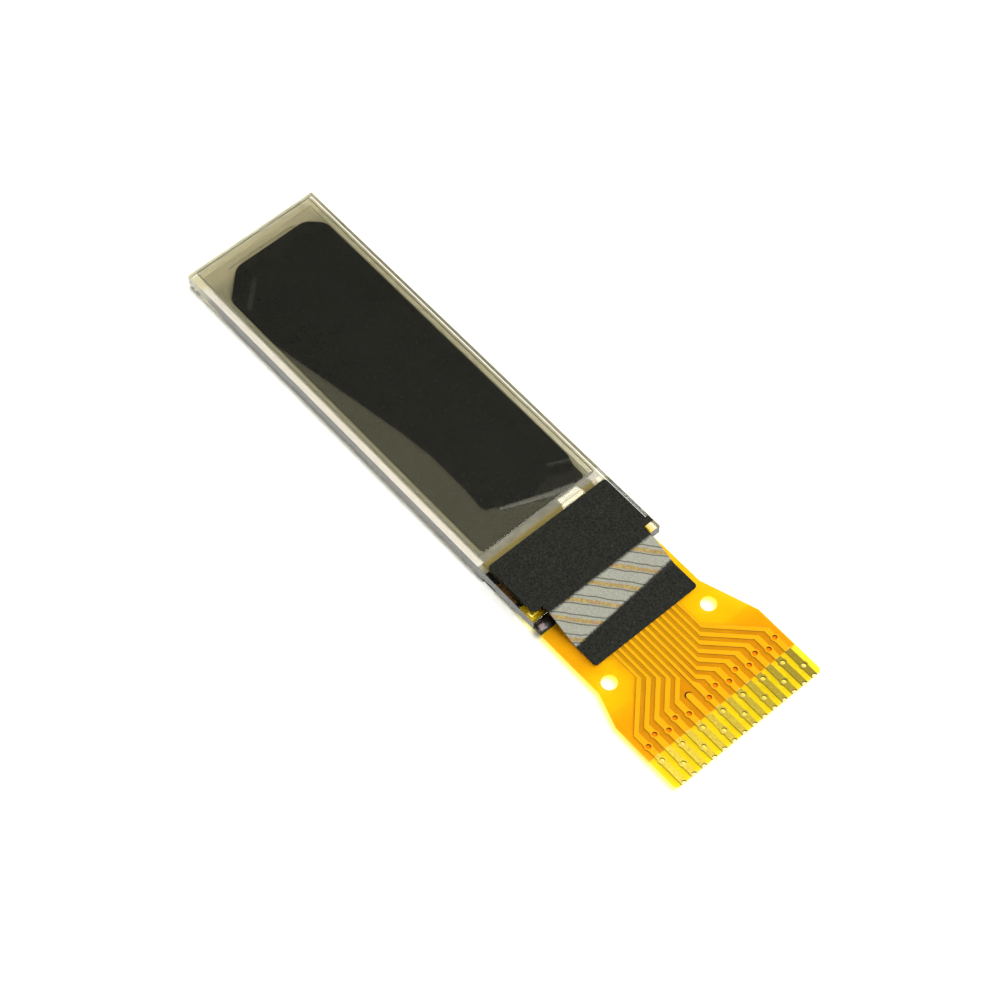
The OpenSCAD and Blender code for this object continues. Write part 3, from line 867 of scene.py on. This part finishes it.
def break_edges(piece, width, segments=2):
    """Rounds the sharp edges with a Bevel modifier, then applies it."""
    resize(piece, WORK_SCALE)
    make_active(piece)
    bevel = piece.modifiers.new("Edges", "BEVEL")
    bevel.width = width * WORK_SCALE
    bevel.segments = segments
    bevel.limit_method = "ANGLE"
    bevel.angle_limit = SHARP_ANGLE
    bevel.harden_normals = False
    bpy.ops.object.modifier_apply(modifier=bevel.name)
    bpy.ops.object.shade_flat()
    resize(piece, 1 / WORK_SCALE)


def round_corners(piece, reach):
    """Rounds the upright corner edges of a flat sheet, with a bevel in edit mode."""
    resize(piece, WORK_SCALE)
    edit(piece)
    bpy.ops.mesh.select_mode(type="EDGE")
    bpy.ops.mesh.select_all(action="DESELECT")
    leave()
    for edge in piece.data.edges:
        a, b = (piece.data.vertices[i].co for i in edge.vertices)
        edge.select = abs(a.z - b.z) > 0.9 * (a - b).length
    bpy.ops.object.mode_set(mode="EDIT")
    bpy.ops.mesh.bevel(offset=reach * WORK_SCALE, segments=6, affect="EDGES")
    leave()
    resize(piece, 1 / WORK_SCALE)


def dress(piece, *materials):
    piece.data.materials.clear()
    for material in materials:
        piece.data.materials.append(material)


def plate_faces(piece, frosted=False):
    """Sorts a plate's faces: clear, scribed walls, lit walls, the pocket's step, frosted top."""
    places = [vertex.co for vertex in piece.data.vertices]
    low, high = (Vector(pick(co[i] for co in places) for i in range(3)) for pick in (min, max))
    for face in piece.data.polygons:
        middle, normal = face.center, face.normal
        inset = min(min(middle[i] - low[i], high[i] - middle[i]) for i in (0, 1))
        if abs(normal.z) > 0.3:
            face.material_index = FROSTED if frosted and normal.z > 0 else CLEAR
        elif inset >= 0.01 * MM:
            face.material_index = STEP
        else:
            face.material_index = SCRIBED if normal.x - normal.y > 0 else LIT


def cut_edge_faces(piece):
    """Gives a sheet's cut edge its second material, and its flat faces the first."""
    for face in piece.data.polygons:
        face.material_index = 1 if abs(face.normal.z) < 0.35 else 0


def track_faces(piece):
    """Gives walls, and broken edges on the shaded side, the second material of a conductor, which
    paints them in shade.
    """
    for face in piece.data.polygons:
        normal = face.normal
        wall = abs(normal.z) < 0.3
        shaded_edge = abs(normal.z) < 0.9 and normal.y - normal.x < 0.1
        face.material_index = 1 if wall or shaded_edge else 0


def stands_for(piece, node):
    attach(piece, "root")
    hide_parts(node)


def dress_nodes(names, material):
    for name in names:
        dress(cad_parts[name], material)


def tones_and_sizes(context):
    return context.scene.oled_colours, context.scene.oled_sizes


# ---------------------------------------------------------------------------------------------
# Operators, one for each piece or group of like pieces
# ---------------------------------------------------------------------------------------------


class OLED_OT_glass(bpy.types.Operator):
    """Front plate and etched cap plate, with scribed edges"""

    bl_idname = "oled.glass"
    bl_label = "Glass plates"

    def execute(self, context):
        tones, sizes = tones_and_sizes(context)
        # In the order of the plates' material slots
        looks = (clear_glass(tones), scribed_glass(), lit_glass_edge(), etched_step(),
                 frosted_glass())
        gap = Vector((sizes.skin,) * 3)
        front = block("front_plate", GLASS_LOW + gap, GLASS_HIGH - gap)
        break_edges(front, sizes.glass_edge)
        dress(front, *looks)
        plate_faces(front)
        stands_for(front, "front_glass")
        cap = node_copy("cap_glass", "cap_plate")
        shrink(cap, sizes.skin)
        dress(cap, *looks)
        plate_faces(cap, frosted=True)
        stands_for(cap, "cap_glass")
        return {"FINISHED"}


class OLED_OT_polarizer(bpy.types.Operator):
    """Polarizer laminated on the front plate"""

    bl_idname = "oled.polarizer"
    bl_label = "Polarizer"

    def execute(self, context):
        tones, sizes = tones_and_sizes(context)
        low = POLARIZER_LOW + Vector((0.0, 0.0, sizes.skin))
        sheet = block("polarizer_sheet", low, POLARIZER_HIGH)
        break_edges(sheet, sizes.polarizer_edge)
        dress(sheet, polarizer_clear(tones), polarizer_side())
        cut_edge_faces(sheet)
        stands_for(sheet, "polarizer")
        return {"FINISHED"}


class OLED_OT_inside(bpy.types.Operator):
    """Emitting film, seal, desiccant sheet and leads, between and on the plates"""

    bl_idname = "oled.inside"
    bl_label = "Inside the panel"

    def execute(self, context):
        tones, sizes = tones_and_sizes(context)
        film = node_copy("emitting_film", "film_sheet")
        round_corners(film, sizes.film_corner)
        dress(film, dark_film(tones))
        stands_for(film, "emitting_film")
        dress_nodes(["edge_seal"], seal_resin(tones))
        dress_nodes(["desiccant_sheet"], desiccant())
        dress_nodes(["panel_leads"], lead_metal())
        return {"FINISHED"}


class OLED_OT_driver(bpy.types.Operator):
    """Driver chip and the bonding films"""

    bl_idname = "oled.driver"
    bl_label = "Driver chip"

    def execute(self, context):
        tones, _ = tones_and_sizes(context)
        dress_nodes(["driver_chip"], silicon(tones))
        dress_nodes(["chip_bond_film", "flex_bond_film"], bond_film())
        return {"FINISHED"}


class OLED_OT_tapes(bpy.types.Operator):
    """Black tape on the front, over the ledge and the flex, and on the back"""

    bl_idname = "oled.tapes"
    bl_label = "Tapes"

    def execute(self, context):
        tones, sizes = tones_and_sizes(context)
        tapes = (("light_shield_tape", "front_tape", front_tape),
                 ("back_tape", "rear_tape", black_tape))
        for node, name, finish in tapes:
            tape = node_copy(node, name)
            break_edges(tape, sizes.tape_edge)
            dress(tape, finish(tones))
            stands_for(tape, node)
        return {"FINISHED"}


class OLED_OT_flex(bpy.types.Operator):
    """Amber base film, coverlays, plated conductors and the gold mark"""

    bl_idname = "oled.flex"
    bl_label = "Flex tail"

    def execute(self, context):
        tones, sizes = tones_and_sizes(context)
        dress_nodes(["flex_base"], amber_film(tones))
        dress_nodes(["alignment_mark"], gold_mark())
        metal, flank = bright_copper(tones), shaded_flank_finish()
        for node in CONDUCTORS:
            track = node_copy(node, node.replace("conductor", "track"))
            break_edges(track, sizes.copper_edge, segments=1)
            dress(track, metal, flank)
            track_faces(track)
            stands_for(track, node)
        covers = (("top_coverlay", "front_coverlay", coverlay_film),
                  ("bottom_coverlay", "rear_coverlay", backing_film))
        for node, name, finish in covers:
            sheet = node_copy(node, name)
            shrink(sheet, sizes.skin)
            break_edges(sheet, sizes.cover_edge)
            dress(sheet, finish(tones))
            stands_for(sheet, node)
        return {"FINISHED"}


class OLED_OT_glue(bpy.types.Operator):
    """Resin bead in the corner between the glass and the flex"""

    bl_idname = "oled.glue"
    bl_label = "Glue bead"

    def execute(self, context):
        tones, _ = tones_and_sizes(context)
        dress_nodes(["glue_bead"], resin_bead(tones))
        return {"FINISHED"}


# ---------------------------------------------------------------------------------------------
# Stage
# ---------------------------------------------------------------------------------------------

# Cards over the module: light, height over the floor, and the places on the polarizer, in
# millimetres, where somebody at the camera sees the card's corners mirrored. The black flag
# keeps the gloss dark, and the others are what the polarizer and the bare glass mirror. A
# lower card covers a higher one.
CARDS = {
    "black flag": ((0.04, 0.04, 0.038), 410, ((-44, -30), (55, -30), (55, 35), (-44, 35))),
    "wedge card": ((0.64, 0.61, 0.4), 400, (
        (-10.85, -4.1), (-2.7, -2.65), (1.1, -2.0), (3.2, -1.75), (5.65, -1.75), (6.85, -1.85),
        (7.15, -1.75), (7.35, -1.25), (7.65, -1.3), (8.6, 0.9), (8.85, 1.85), (8.85, -12),
        (-10.85, -12))),
    "grey card": ((0.13, 0.13, 0.1), 404, (
        (7.65, 1.7), (8.25, 2.9), (8.6, 4.05), (9.9, 4.05), (9.35, 1.95), (9.0, 0.7),
        (8.4, -0.85))),
    "long strip": ((1.35, 1.35, 1.1), 399, (
        (7.45, -1.2), (7.6, -1.3), (8.6, 1.05), (9.0, 2.35), (8.75, 2.45), (8.35, 1.15))),
    "thin strip": ((0.45, 0.45, 0.38), 399, (
        (7.1, 2.15), (7.2, 2.1), (7.75, 3.2), (7.65, 3.3))),
    "far strip": ((0.2, 0.2, 0.16), 399, (
        (-10.85, -1.6), (-10.6, -1.55), (-9.2, -3.0), (-9.5, -3.1))),
    "bright patch": ((10.0, 9.7, 7.9), 398, (
        (8.85, 1.25), (9.45, 1.2), (9.45, 2.55), (8.85, 2.4))),
    "dim patch": ((5.2, 5.0, 4.6), 398, ((8.85, 3.1), (9.45, 3.2), (9.45, 4.0), (8.85, 3.9))),
}


def mirrored(places, height, eye):
    """Where a card's corners are for the eye to see them at these places on the polarizer."""
    top = POLARIZER_HIGH.z
    climb = (height * MM - top) / (eye.z - top)
    return [(x * MM + (x * MM - eye.x) * climb, y * MM + (y * MM - eye.y) * climb, height * MM)
            for x, y in places]


def add_card(name, light, corners):
    """A card above the module that only shows in its gloss."""
    mesh = bpy.data.meshes.new(name)
    mesh.from_pydata(corners, [], [tuple(range(len(corners)))])
    card = bpy.data.objects.new(name, mesh)
    bpy.context.scene.collection.objects.link(card)
    dress(card, glowing_card(name, light))
    card.visible_camera = card.visible_diffuse = card.visible_shadow = False


def add_floor(stage, tones):
    deselect()
    bpy.ops.mesh.primitive_plane_add(size=stage.floor_side, location=(0.0, 0.0, 0.0))
    floor = bpy.context.object
    floor.name = "floor"
    dress(floor, floor_sheet(tones))


def add_room_light(scene, stage):
    world = bpy.data.worlds.new("room")
    world.use_nodes = True
    background = world.node_tree.nodes["Background"].inputs
    background["Color"].default_value = (1.0, 1.0, 0.98, 1.0)
    background["Strength"].default_value = stage.room_light
    scene.world = world


def add_lamp(stage):
    """A square softbox that faces the origin."""
    deselect()
    bpy.ops.object.light_add(type="AREA", location=tuple(stage.lamp_place))
    lamp = bpy.context.object
    lamp.name = "softbox"
    lamp.data.shape = "SQUARE"
    lamp.data.size = stage.lamp_side
    lamp.data.energy = stage.lamp_power
    lamp.data.color = (1.0, 1.0, 0.97)
    lamp.rotation_euler = (-lamp.location).to_track_quat("-Z", "Y").to_euler()


def add_camera(scene, stage):
    deselect()
    bpy.ops.object.camera_add(location=tuple(stage.camera_place))
    camera = bpy.context.object
    camera.name = "camera"
    camera.data.lens = stage.lens
    camera.data.sensor_width = 36.0
    camera.data.clip_start, camera.data.clip_end = 0.001, 10.0
    look = Vector(stage.camera_aim) - Vector(stage.camera_place)
    roll = Euler((0.0, 0.0, stage.camera_roll)).to_matrix()
    turn = look.to_track_quat("-Z", "Y").to_matrix() @ roll
    camera.rotation_euler = turn.to_euler()
    scene.camera = camera


class OLED_OT_stage(bpy.types.Operator):
    """Pale floor, soft lamp, cards and the camera"""

    bl_idname = "oled.stage"
    bl_label = "Stage"

    def execute(self, context):
        scene = context.scene
        stage = scene.oled_stage
        add_floor(stage, scene.oled_colours)
        add_room_light(scene, stage)
        add_lamp(stage)
        for name, (light, height, places) in CARDS.items():
            add_card(name, light, mirrored(places, height, Vector(stage.camera_place)))
        add_camera(scene, stage)
        scene.view_settings.view_transform = "Standard"
        return {"FINISHED"}


# ---------------------------------------------------------------------------------------------
# Panel and registration
# ---------------------------------------------------------------------------------------------


class OLED_PT_panel(bpy.types.Panel):
    """Lists the steps that dress the module"""

    bl_idname = "OLED_PT_panel"
    bl_label = "OLED module"
    bl_space_type = "VIEW_3D"
    bl_region_type = "UI"
    bl_category = "OLED module"

    def draw(self, context):
        for group in ("oled_sizes", "oled_colours", "oled_stage"):
            box = self.layout.box()
            settings = getattr(context.scene, group)
            for name in settings.__annotations__:
                box.prop(settings, name)
        for operator in STEPS:
            self.layout.operator(operator.bl_idname)


STEPS = (
    OLED_OT_stage,
    OLED_OT_glass,
    OLED_OT_polarizer,
    OLED_OT_inside,
    OLED_OT_driver,
    OLED_OT_tapes,
    OLED_OT_flex,
    OLED_OT_glue,
)
GROUPS = (
    ("oled_sizes", OLED_PG_sizes),
    ("oled_colours", OLED_PG_colours),
    ("oled_stage", OLED_PG_stage),
)


def register():
    for name, group in GROUPS:
        bpy.utils.register_class(group)
        setattr(bpy.types.Scene, name, bpy.props.PointerProperty(type=group))
    for operator in STEPS:
        bpy.utils.register_class(operator)
    bpy.utils.register_class(OLED_PT_panel)


def unregister():
    bpy.utils.unregister_class(OLED_PT_panel)
    for operator in reversed(STEPS):
        bpy.utils.unregister_class(operator)
    for name, group in reversed(GROUPS):
        delattr(bpy.types.Scene, name)
        bpy.utils.unregister_class(group)


def main():
    register()
    for operator in STEPS:
        family, step = operator.bl_idname.split(".")
        getattr(getattr(bpy.ops, family), step)()
    deselect()


if __name__ == "__main__":
    main()
